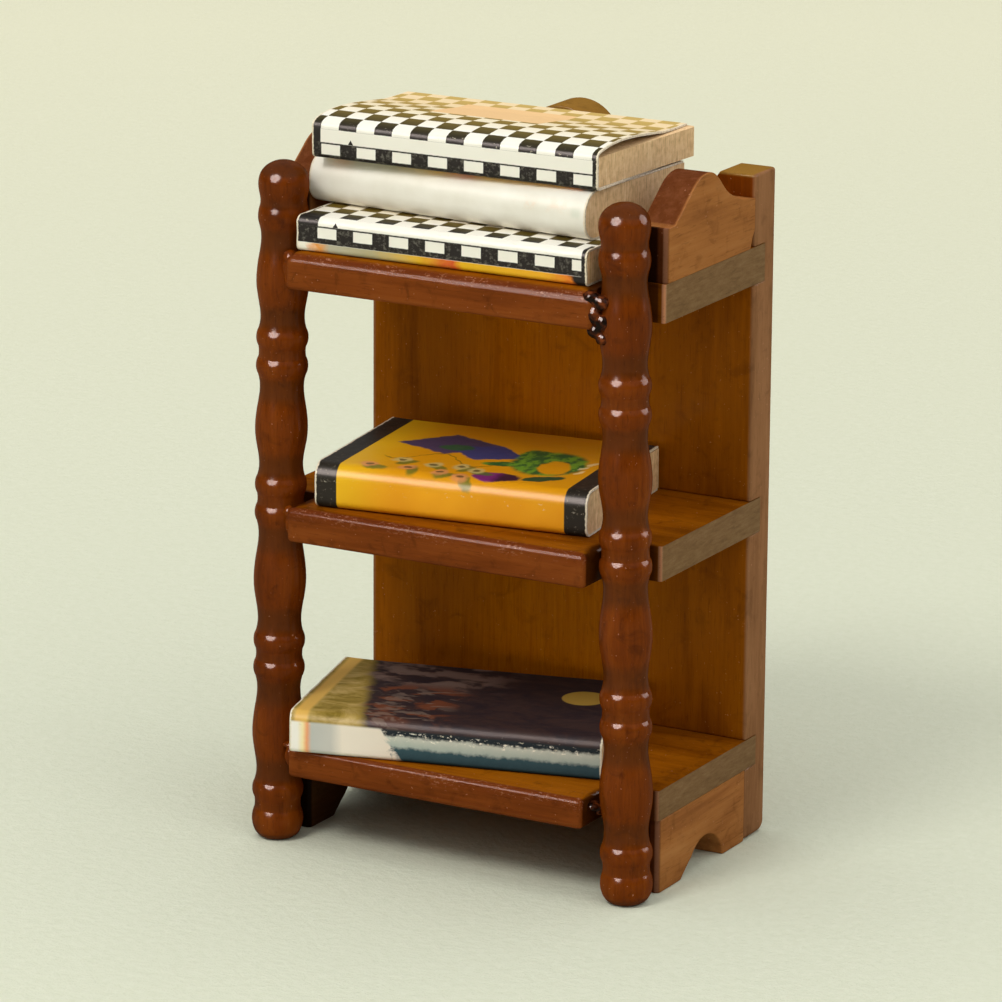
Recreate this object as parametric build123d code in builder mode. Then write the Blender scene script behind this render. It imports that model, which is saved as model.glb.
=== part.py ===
"""A 1:12 doll's house bookcase with five loose books, as separate pieces.

Millimetres, +Z up, front towards -Y. The origin is under the middle of the whole object, at floor
level. The case is glued up from ten pieces: a back panel with three housings, three shelves let into
it, two turned front posts standing in the shelves' corner notches, two gallery brackets on the top
shelf and two foot brackets under the lowest. Each book is a solid block in a folded paper jacket.
"""

import os
from math import atan2, cos, degrees, radians, sin

from build123d import *

# ---- Driving dimensions ---------------------------------------------------------------------------
case_w = 43.6  # width over the shelves and the back panel
panel_t = 4.7  # back panel thickness
shelf_d = 25.1  # shelf depth in front of the panel
book_overhang = 1.25  # how far one book's corner stands out past the shelf edge

post_h = 70.0  # turned post, floor to tip
post_r = 2.66  # largest radius of the turning
post_foot_r = 1.4  # flat under the post
post_foot_x = 20.05  # post axis from the middle at the floor
post_tip_x = 18.9  # and at its tip: the posts lean in
post_set_back = 3.06  # post axis behind the shelf edge

shelf_tops = {"bottom_shelf": 10.68, "middle_shelf": 35.62, "top_shelf": 61.65}
shelf_thicknesses = {"bottom_shelf": 3.05, "middle_shelf": 3.5, "top_shelf": 3.8}
shelf_nosings = {"bottom_shelf": 0.5, "middle_shelf": 0.7, "top_shelf": 1.35}
housing_d = 2.3  # depth of the panel's three grooves
notch_d = 6.14  # corner notch, front to back
notch_walls = {  # left and right notches' inner walls from the middle
    "bottom_shelf": (17.0, 16.45),
    "middle_shelf": (17.0, 16.55),
    "top_shelf": (17.0, 17.0),
}
post_clearance = 0.03  # between a post and the wall hollowed for it
edge_r = 0.4  # worn radius of the small edges
corner_r = 0.5  # worn radius of the shelves' front corners
bracket_edge_r = 0.6  # worn radius of the brackets' front edges

bracket_t = 3.6  # thickness of the gallery and foot brackets
bracket_gap = 0.35  # bracket's front edge behind the notch

horn_z = 68.9  # flat ends of the panel's crest
horn_w = 4.0
crown_z = 73.65  # tip of the rounded crown
crown_r = 4.3
rear_foot_r = 1.2  # the panel's rear edge at the floor
rear_side_r = 0.7  # the panel's rear upright edges

paper = 0.22  # jacket thickness
rest_gap = 0.05  # air between a book and what it lies on

# ---- Worked-out places ------------------------------------------------------------------------------
half_w = case_w / 2
overall_d = book_overhang + shelf_d + panel_t
shelf_front = -overall_d / 2 + book_overhang
panel_front = shelf_front + shelf_d
post_y = shelf_front + post_set_back
notch_back = shelf_front + notch_d
bracket_front = notch_back + bracket_gap
bracket_d = panel_front - bracket_front
bracket_inner = half_w - bracket_t
post_lean = degrees(atan2(post_foot_x - post_tip_x, post_h))
post_lift = post_foot_r * sin(radians(post_lean))  # the leaning foot stands on its edge

os.makedirs("parts", exist_ok=True)


def save(part, name):
    """Labels a finished piece and writes it as its own STEP file."""
    part.label = name
    export_step(part, f"parts/{name}.step")


def post_place(side):
    """Where a post's axis stands, leaning in towards the middle at the top."""
    return Pos(side * post_foot_x, post_y, post_lift) * Rot(0, -side * post_lean, 0)


# ---- Back panel --------------------------------------------------------------------------------------
# The crest: flat horns, a hollow beside each, and a round crown in the middle.
crown_centre = crown_z - crown_r
crown_foot = (crown_r * cos(radians(-12)), crown_centre + crown_r * sin(radians(-12)))
hollow_bottom = (11.2, 66.2)
horn_inner = (half_w - horn_w, horn_z)

with BuildPart() as back_panel:
    with BuildSketch(Plane.XZ.offset(-panel_front)):
        with BuildLine():
            Polyline((0, 0), (half_w, 0), (half_w, horn_z), horn_inner)
            Spline(horn_inner, (15.6, 66.9), hollow_bottom, (6.6, 67.1), crown_foot)
            ThreePointArc(
                crown_foot,
                (crown_r * cos(radians(40)), crown_centre + crown_r * sin(radians(40))),
                (0, crown_z),
            )
            Line((0, crown_z), (0, 0))
        make_face()
        mirror(about=Plane.YZ)
    extrude(amount=-panel_t)
    rear_foot = back_panel.edges().filter_by(Axis.X).group_by(Axis.Y)[-1].sort_by(Axis.Z)[0]
    fillet(rear_foot, radius=rear_foot_r)
    rear_sides = back_panel.edges().filter_by(Axis.Z).group_by(Axis.Y)[-1]
    fillet(rear_sides, radius=rear_side_r)
    for name, top in shelf_tops.items():
        middle_z = top - shelf_thicknesses[name] / 2
        with Locations((0, panel_front + housing_d / 2, middle_z)):
            Box(case_w, housing_d, shelf_thicknesses[name], mode=Mode.SUBTRACT)
save(back_panel.part, "back_panel")

# ---- Shelves -------------------------------------------------------------------------------------------
# Full width, let into the panel's housings, with both front corners notched for the posts and the
# notches' inner walls hollowed where the posts pass.
for name, top in shelf_tops.items():
    thickness = shelf_thicknesses[name]
    length_y = shelf_d + housing_d
    with BuildPart() as shelf:
        with BuildSketch(Plane.XY.offset(top - thickness)):
            with Locations((0, shelf_front + length_y / 2)):
                Rectangle(case_w, length_y)
            for side, wall in zip((-1, 1), notch_walls[name]):
                with Locations((side * (wall + half_w) / 2, shelf_front + notch_d / 2)):
                    Rectangle(half_w - wall, notch_d, mode=Mode.SUBTRACT)
        extrude(amount=thickness)
        upright = shelf.edges().filter_by(Axis.Z)
        front_corners = upright.filter_by_position(Axis.Y, shelf_front - 0.1, shelf_front + 0.1)
        side_corners = upright.filter_by_position(Axis.Y, notch_back - 0.1, notch_back + 0.1)
        side_corners = [edge for edge in side_corners if abs(edge.center().X) > half_w - 1]
        fillet(front_corners, radius=corner_r)
        fillet(side_corners, radius=edge_r)
        nose = shelf.faces().sort_by(Axis.Y)[0].edges().filter_by(Axis.X).sort_by(Axis.Z)
        fillet(nose[-1], radius=shelf_nosings[name])
        nose = shelf.faces().sort_by(Axis.Y)[0].edges().filter_by(Axis.X).sort_by(Axis.Z)
        fillet(nose[0], radius=edge_r)
        with Locations(post_place(-1), post_place(1)):
            Cylinder(post_r + post_clearance, 2 * post_h, mode=Mode.SUBTRACT)
    save(shelf.part, name)

# ---- Turned posts ----------------------------------------------------------------------------------------
# Four pairs of beads, each pair parted by a groove, with a vase-shaped swelling above each of the lower
# three pairs and a shorter one, a bead and a ball finial at the top.
grooves = (3.65, 19.4, 35.6, 50.7)  # heights of the grooves
groove_half = 0.55  # half the groove's height
bead_mid = 1.45  # from the groove to a bead's middle
bead_end = 2.35  # from the groove to a bead's far edge
neck_mid = 3.25  # from the groove to the neck beyond the bead
bead_r, crease_r, groove_r, neck_r = 2.6, 2.37, 2.32, 2.2
belly_r, shoulder_r = 2.6, 2.46
cap_bead_z = 64.45  # middle of the bead below the finial
cap_bead_r = 2.53
cap_bead_half = 0.95
cap_start = cap_bead_z - cap_bead_half
cap_stop = cap_bead_z + cap_bead_half
foot_mid = 2.1  # height of the foot's widest place
tip_r = 0.3

with BuildPart() as post:
    with BuildSketch(Plane.XZ):
        with BuildLine():
            Line((0, 0), (post_foot_r, 0))
            foot = ((2.12, 0.4), (2.48, 1.1), (bead_r, foot_mid))
            Spline((post_foot_r, 0), *foot, (crease_r, grooves[0] - groove_half))
            for count, groove in enumerate(grooves):
                low, high = groove - groove_half, groove + groove_half
                if count > 0:
                    bead_low = groove - bead_end
                    ThreePointArc((crease_r, bead_low), (bead_r, groove - bead_mid), (crease_r, low))
                ThreePointArc((crease_r, low), (groove_r, groove), (crease_r, high))
                start = groove + bead_end
                ThreePointArc((crease_r, high), (bead_r, groove + bead_mid), (crease_r, start))
                last = count == len(grooves) - 1
                stop = cap_start if last else grooves[count + 1] - bead_end
                neck_low = groove + neck_mid
                neck_high = stop - (neck_mid - bead_end)
                vase = neck_high - neck_low
                swell = ((belly_r, neck_low + 0.38 * vase), (shoulder_r, neck_low + 0.7 * vase))
                Spline((crease_r, start), (neck_r, neck_low), *swell, (neck_r, neck_high), (crease_r, stop))
            ThreePointArc((crease_r, cap_start), (cap_bead_r, cap_bead_z), (crease_r, cap_stop))
            finial = ((2.3, 66.1), (2.49, 67.15), (2.52, 67.9), (2.3, 68.75), (1.5, 69.6))
            Spline((crease_r, cap_stop), *finial, (tip_r, post_h))
            Polyline((tip_r, post_h), (0, post_h), (0, 0))
        make_face()
    revolve(axis=Axis.Z)
for name, side in (("left_post", -1), ("right_post", 1)):
    save(post_place(side) * post.part, name)

# ---- Gallery brackets ----------------------------------------------------------------------------------
# Level at the front, then a straight slope up to a round hump, and a hollow down to the panel. The lower
# rear corner is cut off short of the panel.
slope_foot = (1.6, 5.45)  # from the front edge, above the shelf
slope_head = (5.3, 8.35)
hump = ((7.9, 9.36), (9.4, 9.2), (11.3, 7.85), (13.0, 6.5), (15.3, 5.55))
gallery_front_h = 5.4
gallery_back_h = 4.95
cut_corner = ((bracket_d, 1.8), (bracket_d - 0.5, 1.1), (bracket_d - 0.9, 0))

for name, side in (("left_gallery_bracket", -1), ("right_gallery_bracket", 1)):
    side_plane = Plane(
        origin=(side * bracket_inner, bracket_front, shelf_tops["top_shelf"]),
        x_dir=(0, 1, 0),
        z_dir=(1, 0, 0),
    )
    with BuildPart() as bracket:
        with BuildSketch(side_plane):
            with BuildLine():
                Polyline((0, 0), (0, gallery_front_h), slope_foot, slope_head)
                Spline(slope_head, *hump, (bracket_d, gallery_back_h), tangents=((1, 0.78), (1, -0.15)))
                Polyline((bracket_d, gallery_back_h), *cut_corner, (0, 0))
            make_face()
        extrude(amount=side * bracket_t)
        front_edges = bracket.edges().filter_by(Axis.Z).sort_by(Axis.Y)[0:2]
        fillet(front_edges, radius=bracket_edge_r)
    save(bracket.part, name)

# ---- Foot brackets --------------------------------------------------------------------------------------
# A flat foot at the front and another at the panel, with an arch between them that springs from a cusp.
foot_top = shelf_tops["bottom_shelf"] - shelf_thicknesses["bottom_shelf"]
front_foot_d = 4.8
arch_h = 3.15
arch_back = 13.95

for name, side in (("left_foot_bracket", -1), ("right_foot_bracket", 1)):
    with BuildPart() as bracket:
        with BuildSketch(Plane.YZ.offset(side * bracket_inner)):
            with BuildLine():
                Polyline(
                    (bracket_front + front_foot_d, 0),
                    (bracket_front, 0),
                    (bracket_front, foot_top),
                    (panel_front, foot_top),
                    (panel_front, 0),
                    (bracket_front + arch_back, 0),
                )
                ThreePointArc(
                    (bracket_front + arch_back, 0),
                    (bracket_front + 10.5, arch_h),
                    (bracket_front + 7.1, 1.75),
                )
                ThreePointArc(
                    (bracket_front + 7.1, 1.75),
                    (bracket_front + 5.7, 0.75),
                    (bracket_front + front_foot_d, 0),
                )
            make_face()
        extrude(amount=side * bracket_t)
        front_edges = bracket.edges().filter_by(Axis.Z).sort_by(Axis.Y)[0:2]
        fillet(front_edges, radius=bracket_edge_r)
    save(bracket.part, name)


# ---- Books ----------------------------------------------------------------------------------------------
def section_plane(middle, turn, length, base_z):
    """The plane of a book's left end: x runs back from the spine, y runs up, and +Z along the spine."""
    along = Vector(cos(radians(turn)), sin(radians(turn)), 0)
    back = Vector(-sin(radians(turn)), cos(radians(turn)), 0)
    corner = Vector(middle[0], middle[1], base_z) - along * (length / 2)
    return Plane(origin=corner, x_dir=back, z_dir=along)


def rounded_section(depth, height, low_r, top_r, inset=0.0, beyond=0.0):
    """A book's cross-section: square at the fore edge and rounded at the spine."""
    with BuildSketch() as section:
        with Locations(((depth + beyond + inset) / 2, height / 2)):
            Rectangle(depth + beyond - inset, height - 2 * inset)
        spine = section.vertices().group_by(Axis.X)[0].sort_by(Axis.Y)
        fillet(spine[0], radius=low_r - inset)
        spine = section.vertices().group_by(Axis.X)[0].sort_by(Axis.Y)
        fillet(spine[-1], radius=top_r - inset)
    return section.sketch


# name: middle of the spine's foot, turn in degrees, (length, depth, height), spine radii low and high
lying_books = {
    "dark_book": ((-0.29, post_y - 0.52), 13.6, (32.2, 19.2, 4.3), (0.5, 1.0)),
    "orange_book": ((-0.2, post_y + 0.17), 7.0, (28.9, 19.8, 4.5), (0.9, 1.4)),
    "chequered_book": ((-0.2, post_y - 1.93), 1.0, (31.9, 20.2, 3.5), (0.5, 0.7)),
    "cream_book": ((-1.93, post_y + 2.1), -3.6, (32.0, 18.4, 4.9), (1.9, 2.3)),
}
base_heights = {
    "dark_book": shelf_tops["bottom_shelf"] + rest_gap,
    "orange_book": shelf_tops["middle_shelf"] + rest_gap,
    "chequered_book": shelf_tops["top_shelf"] + rest_gap,
}
pile_low = base_heights["chequered_book"] + lying_books["chequered_book"][2][2]
base_heights["cream_book"] = pile_low + rest_gap
pile_middle = base_heights["cream_book"] + lying_books["cream_book"][2][2]

for name, (middle, turn, (length, depth, height), (low_r, top_r)) in lying_books.items():
    end = section_plane(middle, turn, length, base_heights[name])
    outer = rounded_section(depth - 0.25, height, low_r, top_r)
    inner = rounded_section(depth, height, low_r, top_r, inset=paper, beyond=1.0)
    core = rounded_section(depth, height, low_r, top_r, inset=paper)
    with BuildPart() as jacket:
        with BuildSketch(end):
            add(outer)
            add(inner, mode=Mode.SUBTRACT)
        extrude(amount=length)
    save(jacket.part, f"{name}_jacket")
    with BuildPart() as block:
        with BuildSketch(end):
            add(core)
        extrude(amount=length)
    save(block.part, f"{name}_block")

# The book on top of the pile is thinner than its jacket, whose upper side springs off it in an arch
# and comes down on the block at the fore edge.
arched_l, arched_d, arched_block_h = 31.65, 19.0, 2.9
arched_end = section_plane((-0.97, post_y + 1.95), 0.4, arched_l, pile_middle + rest_gap)
spine_r = 0.5
spine_top = (0.75, 3.85)
inner_top = (spine_top[0] + 0.1, spine_top[1] - paper)
arch = ((4.6, 4.25), (9.5, 3.95), (14.0, 3.42))
fore_edge = arched_d - 0.25
fore_low = arched_block_h + paper + 0.02  # the jacket's upper side lies on the block here

with BuildPart() as arched_book_jacket:
    with BuildSketch(arched_end):
        with BuildLine():
            Line((fore_edge, 0), (spine_r, 0))
            ThreePointArc((spine_r, 0), (0.146, 0.146), (0, spine_r))
            Line((0, spine_r), (0, 3.2))
            ThreePointArc((0, 3.2), (0.2, 3.62), spine_top)
            Spline(spine_top, *arch, (fore_edge, fore_low + paper), tangents=((1, 0.45), (1, -0.05)))
            Line((fore_edge, fore_low + paper), (fore_edge, fore_low))
            under_arch = [(y, z - paper) for y, z in reversed(arch)]
            Spline((fore_edge, fore_low), *under_arch, inner_top, tangents=((-1, 0.05), (-1, -0.45)))
            ThreePointArc(inner_top, (0.37, 3.47), (paper, 3.15))
            Polyline((paper, 3.15), (paper, paper), (fore_edge, paper), (fore_edge, 0))
        make_face()
    extrude(amount=arched_l)
save(arched_book_jacket.part, "arched_book_jacket")

# Its block is cut out of square: short of the jacket at the spine and past it at the right fore corner.
block_short = 0.35
block_past = 0.9
block_corner_r = 0.5
block_outline = (
    (block_short, paper),
    (arched_l - block_short, paper),
    (arched_l + block_past, arched_d),
    (block_short, arched_d),
)
block_foot = arched_end.origin + Vector(0, 0, paper)

with BuildPart() as arched_book_block:
    with BuildSketch(Plane(origin=block_foot, x_dir=arched_end.z_dir, z_dir=(0, 0, 1))):
        with BuildLine():
            Polyline(*block_outline, close=True)
        make_face()
    extrude(amount=arched_block_h)
    fore_corners = arched_book_block.edges().filter_by(Axis.Z).sort_by(Axis.Y)[-2:]
    fillet(fore_corners, radius=block_corner_r)
save(arched_book_block.part, "arched_book_block")
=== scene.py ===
"""The looks of a doll's house bookcase with five loose books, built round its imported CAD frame.

Everything is in metres in the frame's own axes: +Z up, front towards -Y. Wood pieces are the CAD solids
with their edges eased; the books' jackets are folded paper sheets made here. Patterns are procedural and
are laid out in millimetres.
"""

from math import cos, radians, sin

import bmesh
import bpy
from mathutils import Matrix, Vector, noise


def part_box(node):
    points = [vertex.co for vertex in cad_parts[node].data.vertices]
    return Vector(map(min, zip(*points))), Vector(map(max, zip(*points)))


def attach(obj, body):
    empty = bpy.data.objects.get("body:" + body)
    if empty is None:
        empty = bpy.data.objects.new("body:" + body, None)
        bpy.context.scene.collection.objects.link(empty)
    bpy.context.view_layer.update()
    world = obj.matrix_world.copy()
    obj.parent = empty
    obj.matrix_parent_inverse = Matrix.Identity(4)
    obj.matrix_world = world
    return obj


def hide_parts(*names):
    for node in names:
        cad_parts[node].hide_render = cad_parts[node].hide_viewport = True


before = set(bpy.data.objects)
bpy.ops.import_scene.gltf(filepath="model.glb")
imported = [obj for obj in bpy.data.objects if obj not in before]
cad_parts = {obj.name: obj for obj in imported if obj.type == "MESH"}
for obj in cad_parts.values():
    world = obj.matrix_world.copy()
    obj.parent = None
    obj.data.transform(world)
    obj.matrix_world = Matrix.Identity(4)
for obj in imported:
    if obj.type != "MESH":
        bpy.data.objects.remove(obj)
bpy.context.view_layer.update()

MM = 0.001
UP = Vector((0, 0, 1))

CASE = "bookcase"
SHELVES = ("top_shelf", "middle_shelf", "bottom_shelf")
POSTS = ("left_post", "right_post")
BRACKETS = ("left_gallery_bracket", "right_gallery_bracket", "left_foot_bracket", "right_foot_bracket")

half_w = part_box("top_shelf")[1].x / MM
bracket_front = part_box("left_foot_bracket")[0].y / MM
gallery_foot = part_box("right_gallery_bracket")[0].z / MM
post_y = (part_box("right_post")[0].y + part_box("right_post")[1].y) / 2 / MM
notch_back = bracket_front - 0.35
POST_FOOT_X = 20.05  # the posts' axes from the middle at the floor, in millimetres
POST_SLOPE = 1.15 / 70  # how far they lean in per millimetre of height


# ---- Materials: a small kit ----------------------------------------------------------------------
def srgb(red, green, blue):
    """A colour given as 0-255 screen values, as the linear colour that Blender wants."""
    linear = []
    for value in (red, green, blue):
        share = value / 255
        linear.append(share / 12.92 if share <= 0.04045 else ((share + 0.055) / 1.055) ** 2.4)
    return (*linear, 1.0)


class Paint:
    """A procedural material. Each call adds a node and gives back its output socket."""

    def __init__(self, name):
        self.material = bpy.data.materials.new(name)
        self.material.use_nodes = True
        self.nodes = self.material.node_tree.nodes
        self.links = self.material.node_tree.links
        self.nodes.clear()

    def node(self, kind, inputs=(), **settings):
        made = self.nodes.new("ShaderNode" + kind)
        for key, value in settings.items():
            setattr(made, key, value)
        for key, value in dict(inputs).items():
            if isinstance(value, bpy.types.NodeSocket):
                self.links.new(value, made.inputs[key])
            else:
                made.inputs[key].default_value = value
        return made

    def math(self, operation, *values):
        return self.node("Math", enumerate(values), operation=operation).outputs[0]

    def add(self, *values):
        total = values[0]
        for value in values[1:]:
            total = self.math("ADD", total, value)
        return total

    def times(self, *values):
        total = values[0]
        for value in values[1:]:
            total = self.math("MULTIPLY", total, value)
        return total

    def minus(self, first, second):
        return self.math("SUBTRACT", first, second)

    def most(self, *values):
        total = values[0]
        for value in values[1:]:
            total = self.math("MAXIMUM", total, value)
        return total

    def size(self, value):
        return self.math("ABSOLUTE", value)

    def rise(self, value, low, high):
        """0 below low, 1 above high, and a soft step between."""
        inputs = {"Value": value, "From Min": low, "From Max": high, "To Min": 0.0, "To Max": 1.0}
        return self.node("MapRange", inputs, interpolation_type="SMOOTHSTEP").outputs[0]

    def fall(self, value, low, high):
        """1 below low, 0 above high, and a soft step between."""
        return self.minus(1.0, self.rise(value, low, high))

    def band(self, value, low, high, soft=0.05):
        """1 between low and high, with soft edges."""
        inside = self.rise(value, low - soft, low + soft)
        return self.times(inside, self.fall(value, high - soft, high + soft))

    def place(self):
        """The point on the object in millimetres."""
        own = self.node("TexCoord").outputs["Object"]
        return self.node("VectorMath", {0: own, "Scale": 1 / MM}, operation="SCALE").outputs[0]

    def attribute(self, name):
        return self.node("Attribute", attribute_name=name).outputs["Vector"]

    def split(self, vector):
        return self.node("SeparateXYZ", {0: vector}).outputs

    def join(self, x, y, z):
        return self.node("CombineXYZ", {0: x, 1: y, 2: z}).outputs[0]

    def stretched(self, vector, x, y, z):
        return self.node("VectorMath", {0: vector, 1: (x, y, z)}, operation="MULTIPLY").outputs[0]

    def moved(self, vector, x, y, z):
        return self.node("VectorMath", {0: vector, 1: (x, y, z)}, operation="ADD").outputs[0]

    def cloud(self, vector, scale, detail=3.0, roughness=0.5, twist=0.0):
        inputs = {"Vector": vector, "Scale": scale, "Detail": detail, "Roughness": roughness}
        inputs["Distortion"] = twist
        return self.node("TexNoise", inputs).outputs[0]

    def ramp(self, value, *stops):
        """Colours along a value: each stop is (position, colour)."""
        made = self.node("ValToRGB", {0: value})
        points = made.color_ramp.elements
        while len(points) < len(stops):
            points.new(1.0)
        for point, (position, colour) in zip(points, stops):
            point.position = position
            point.color = colour
        return made.outputs[0]

    def blend(self, share, first, second):
        """The second colour over the first, by its share."""
        return self.node("Mix", {0: share, 6: first, 7: second}, data_type="RGBA").outputs[2]

    def bump(self, height, depth_mm, strength=1.0, under=None):
        inputs = {"Height": height, "Distance": depth_mm * MM, "Strength": strength}
        if under is not None:
            inputs["Normal"] = under
        return self.node("Bump", inputs).outputs[0]

    def finish(self, colour, roughness, normal, **uniform):
        """The shader itself. Values that are the same all over go straight to its own sockets."""
        inputs = {"Base Color": colour, "Roughness": roughness, "Normal": normal}
        for key, value in uniform.items():
            inputs[key.replace("_", " ").title().replace("Ior", "IOR")] = value
        shader = self.node("BsdfPrincipled", inputs)
        self.node("OutputMaterial", {0: shader.outputs[0]})
        return self.material


# ---- Wood ----------------------------------------------------------------------------------------
RED_WOOD = (srgb(70, 26, 2), srgb(106, 47, 5), srgb(132, 66, 12))
FRONT_WOOD = (srgb(80, 34, 9), srgb(116, 58, 20), srgb(138, 76, 30))
AMBER_WOOD = (srgb(98, 49, 3), srgb(138, 76, 6), srgb(160, 94, 12))
BRACKET_WOOD = (srgb(118, 70, 36), srgb(158, 102, 54), srgb(178, 124, 74))
EDGE_WOOD = (srgb(108, 72, 44), srgb(140, 98, 66), srgb(158, 114, 80))
END_GRAIN = (srgb(104, 78, 52), srgb(120, 92, 62), srgb(132, 104, 74))
WORN = srgb(222, 162, 128)
# Deep brown for pores and uneven stain, also used as the painted shade round the posts on the shelves.
DEEP_STAIN_AND_SHADE = srgb(44, 16, 4)
NECK_BROWN = srgb(66, 36, 12)


def grain(paint, place, along, tones, contrast=1.0):
    """Stained wood: broad drifts of tone, fine streaks that run along one axis, and short dark pores."""
    fine = [2.6, 2.6, 2.6]
    fine["XYZ".index(along)] = 0.10
    wide = [0.30, 0.30, 0.30]
    wide["XYZ".index(along)] = 0.05
    streaks = paint.cloud(paint.stretched(place, *fine), 1.0, 4.0, 0.62, 0.25)
    drifts = paint.cloud(paint.stretched(place, *wide), 1.0, 3.0, 0.55, 0.6)
    tone = paint.add(paint.times(streaks, 0.3 * contrast), paint.times(drifts, 0.75 * contrast))
    tone = paint.add(tone, 0.5 - 0.525 * contrast)
    dark, middle, light = tones
    colour = paint.ramp(tone, (0.28, dark), (0.5, middle), (0.72, light))
    pore_scale = [7.0, 7.0, 7.0]
    pore_scale["XYZ".index(along)] = 0.55
    pores = paint.fall(paint.cloud(paint.stretched(place, *pore_scale), 1.0, 1.0), 0.30, 0.38)
    return colour, streaks, pores


def mottled(paint, place, colour, share=0.35):
    """Uneven stain: darker clouds and a few pale worn specks."""
    clouds = paint.cloud(place, 0.42, 4.0, 0.6, 0.8)
    colour = paint.blend(paint.times(paint.rise(clouds, 0.52, 0.74), share), colour, DEEP_STAIN_AND_SHADE)
    specks = paint.rise(paint.cloud(place, 3.1, 2.0, 0.5), 0.71, 0.77)
    return paint.blend(paint.times(specks, 0.3), colour, WORN)


def from_post(paint, x, y, z):
    """How far a point is from the nearer post's leaning axis."""
    across = paint.minus(paint.size(x), paint.minus(POST_FOOT_X, paint.times(z, POST_SLOPE)))
    back = paint.minus(y, post_y)
    return paint.math("SQRT", paint.add(paint.times(across, across), paint.times(back, back)))


def lacquer(paint, place, colour, streaks, pores, gloss, coat):
    """Closes a wood material: orange-peel lacquer over shallow grain, duller where it is rubbed."""
    peel = paint.cloud(place, 0.9, 2.0, 0.5)
    normal = paint.bump(peel, 0.10, 0.5)
    normal = paint.bump(streaks, 0.03, 0.5, normal)
    normal = paint.bump(paint.minus(1.0, pores), 0.02, 0.5, normal)
    rubbed = paint.cloud(place, 0.5, 3.0, 0.6, 0.5)
    roughness = paint.add(gloss, paint.times(rubbed, 0.22), paint.times(pores, 0.15))
    return paint.finish(
        colour, roughness, normal, specular_ior_level=0.0, coat_weight=coat, coat_roughness=0.15
    )


def turned_wood():
    """The posts: dark red gloss, browner and darker in the necks and grooves."""
    paint = Paint("turned_wood")
    place = paint.place()
    colour, streaks, pores = grain(paint, place, "Z", RED_WOOD, 0.8)
    colour = mottled(paint, place, colour, 0.45)
    radius = from_post(paint, *paint.split(place))
    necks = paint.fall(radius, 2.2, 2.42)
    colour = paint.blend(paint.times(necks, 0.5), colour, NECK_BROWN)
    colour = paint.blend(paint.times(pores, 0.25), colour, DEEP_STAIN_AND_SHADE)
    return lacquer(paint, place, colour, streaks, pores, 0.3, 0.13)


def shelf_wood(name):
    """A shelf: amber on its faces, redder along its front, brown end grain, and painted shade round the
    posts.
    """
    low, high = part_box(name)
    front_y, top_z = low.y / MM, high.z / MM
    paint = Paint(name + "_wood")
    place = paint.place()
    top_colour, streaks, pores = grain(paint, place, "X", AMBER_WOOD, 0.8)
    front_colour = grain(paint, place, "X", FRONT_WOOD, 0.8)[0]
    x, y, z = paint.split(place)
    front = paint.fall(y, front_y + 0.3, front_y + 0.9)
    colour = mottled(paint, place, paint.blend(front, top_colour, front_colour), 0.4)
    ends = paint.cloud(paint.stretched(place, 0.8, 0.5, 2.6), 1.0, 4.0, 0.65)
    end_colour = paint.ramp(ends, (0.25, END_GRAIN[0]), (0.5, END_GRAIN[1]), (0.75, END_GRAIN[2]))
    wide = paint.size(x)
    colour = paint.blend(paint.rise(wide, half_w - 0.12, half_w - 0.04), colour, end_colour)
    corner = paint.fall(y, notch_back + 0.08, notch_back + 0.42)
    corner = paint.times(corner, paint.band(wide, half_w - 0.4, half_w, 0.08))
    colour = paint.blend(paint.times(corner, 0.5), colour, WORN)
    # Painted shade: the shelf top and the notch walls round each post are darkened where the post shades
    # them.
    post_shade = paint.fall(from_post(paint, x, y, z), 3.3, 4.2)
    post_shade = paint.times(post_shade, paint.rise(y, front_y + 0.5, front_y + 1.2))
    notch_shade = paint.fall(y, notch_back, notch_back + 0.2)
    notch_shade = paint.times(notch_shade, paint.fall(wide, half_w - 0.9, half_w - 0.5))
    notch_shade = paint.times(notch_shade, paint.rise(wide, 16.1, 16.4), paint.rise(y, front_y + 0.3, front_y + 0.6))
    colour = paint.blend(paint.times(paint.most(post_shade, notch_shade), 0.85), colour, DEEP_STAIN_AND_SHADE)
    near_nose = paint.fall(paint.size(paint.minus(y, front_y + 0.3)), 0.1, 0.6)
    near_top = paint.rise(z, top_z - 1.5, top_z - 0.3)
    colour = paint.blend(paint.times(near_nose, near_top, 0.45), colour, srgb(92, 34, 14))
    rubs = paint.rise(paint.cloud(paint.stretched(place, 2.4, 5.0, 5.0), 1.0, 5.0, 0.7), 0.54, 0.63)
    patches = paint.rise(paint.cloud(paint.moved(place, 5, 0, 9), 0.3, 2.0), 0.42, 0.6)
    colour = paint.blend(paint.times(near_nose, near_top, rubs, patches, 0.38), colour, WORN)
    colour = paint.blend(paint.times(pores, 0.25), colour, DEEP_STAIN_AND_SHADE)
    return lacquer(paint, place, colour, streaks, pores, 0.3, 0.05)


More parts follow.
